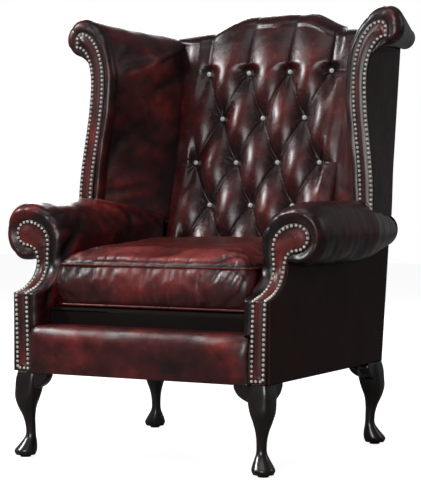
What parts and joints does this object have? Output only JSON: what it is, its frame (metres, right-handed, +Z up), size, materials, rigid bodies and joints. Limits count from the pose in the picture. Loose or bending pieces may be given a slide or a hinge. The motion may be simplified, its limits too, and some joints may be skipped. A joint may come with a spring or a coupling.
{
  "type": "wingback chair",
  "caption": "High-backed wing chair for one sitter: deep-buttoned back, scrolled arms and wings with nail trim, loose seat cushion and cabriole legs.",
  "frame": {"origin": "on the floor, under the middle of the chair's outer box", "axes": "+X to the right seen from the front, +Y towards the back, +Z up"},
  "size_m": [0.9072, 0.7546, 1.052],
  "materials": {
    "leather": "oxblood leather, glossy, rubbed lighter on high places",
    "leather_cushion": "oxblood leather, glossy, worn along the seams",
    "leather_facing": "oxblood leather, stretched flat over the facings",
    "leather_outside": "dark oxblood leather, smooth",
    "leather_deck": "dark leather under the cushion",
    "leather_piping": "leather piping, polished",
    "timber": "sawn beech frame, unfinished",
    "mahogany": "mahogany stain under gloss lacquer",
    "nail": "polished nickel nail heads",
    "button": "polished nickel buttons",
    "steel": "oiled spring steel",
    "glide": "black glides",
    "webbing": "jute webbing",
    "dust_cloth": "black woven dust cloth",
    "foam": "cream foam in its wrap",
    "zip_tape": "woven zip tape",
    "zip_metal": "antique brass"
  },
  "bodies": {
    "chair_frame": {"front_rail": "timber", "back_rail": "timber", "side_rail_left": "timber", "side_rail_right": "timber", "corner_blocks": "timber", "front_post_left": "timber", "front_post_right": "timber", "arm_rail_left": "timber", "arm_rail_right": "timber", "arm_tack_rails": "timber", "back_post_left": "timber", "back_post_right": "timber", "crest_rail": "timber", "back_tack_rail": "timber", "back_slats": "timber", "wing_post_left": "timber", "wing_post_right": "timber", "wing_top_rail_left": "timber", "wing_top_rail_right": "timber", "leg_front_left": "mahogany", "leg_front_right": "mahogany", "leg_rear_left": "mahogany", "leg_rear_right": "mahogany", "knee_blocks": "mahogany", "leg_bolts": "steel", "foot_glides": "glide", "seat_springs": "steel", "spring_clips": "steel", "seat_deck": "leather_deck", "back_webbing": "webbing", "dust_cover": "dust_cloth", "front_border": "leather", "arm_pad_left": "leather", "arm_pad_right": "leather", "arm_facing_left": "leather_facing", "arm_facing_right": "leather_facing", "arm_nails_left": "nail", "arm_nails_right": "nail", "outside_arm_left": "leather_outside", "outside_arm_right": "leather_outside", "wing_pad_left": "leather", "wing_pad_right": "leather", "wing_facing_left": "leather_facing", "wing_facing_right": "leather_facing", "wing_nails_left": "nail", "wing_nails_right": "nail", "outside_wing_left": "leather_outside", "outside_wing_right": "leather_outside", "back_pad": "leather", "back_buttons": "button", "outside_back": "leather_outside"},
    "cushion": {"cushion_core": "foam", "cushion_top": "leather_cushion", "cushion_band": "leather_cushion", "cushion_bottom": "leather_deck", "cushion_piping": "leather_piping", "cushion_zip": "zip_tape"},
    "zip_pull": {"zip_pull": "zip_metal"}
  },
  "joints": [
    {"name": "cushion_lift", "type": "slide", "parent": "chair_frame", "child": "cushion", "axis": [0, 0, 1], "range_m": [0, 0.3]},
    {"name": "zip_slide", "type": "slide", "parent": "cushion", "child": "zip_pull", "axis": [1, 0, 0], "range_m": [0, 0.305]}
  ]
}
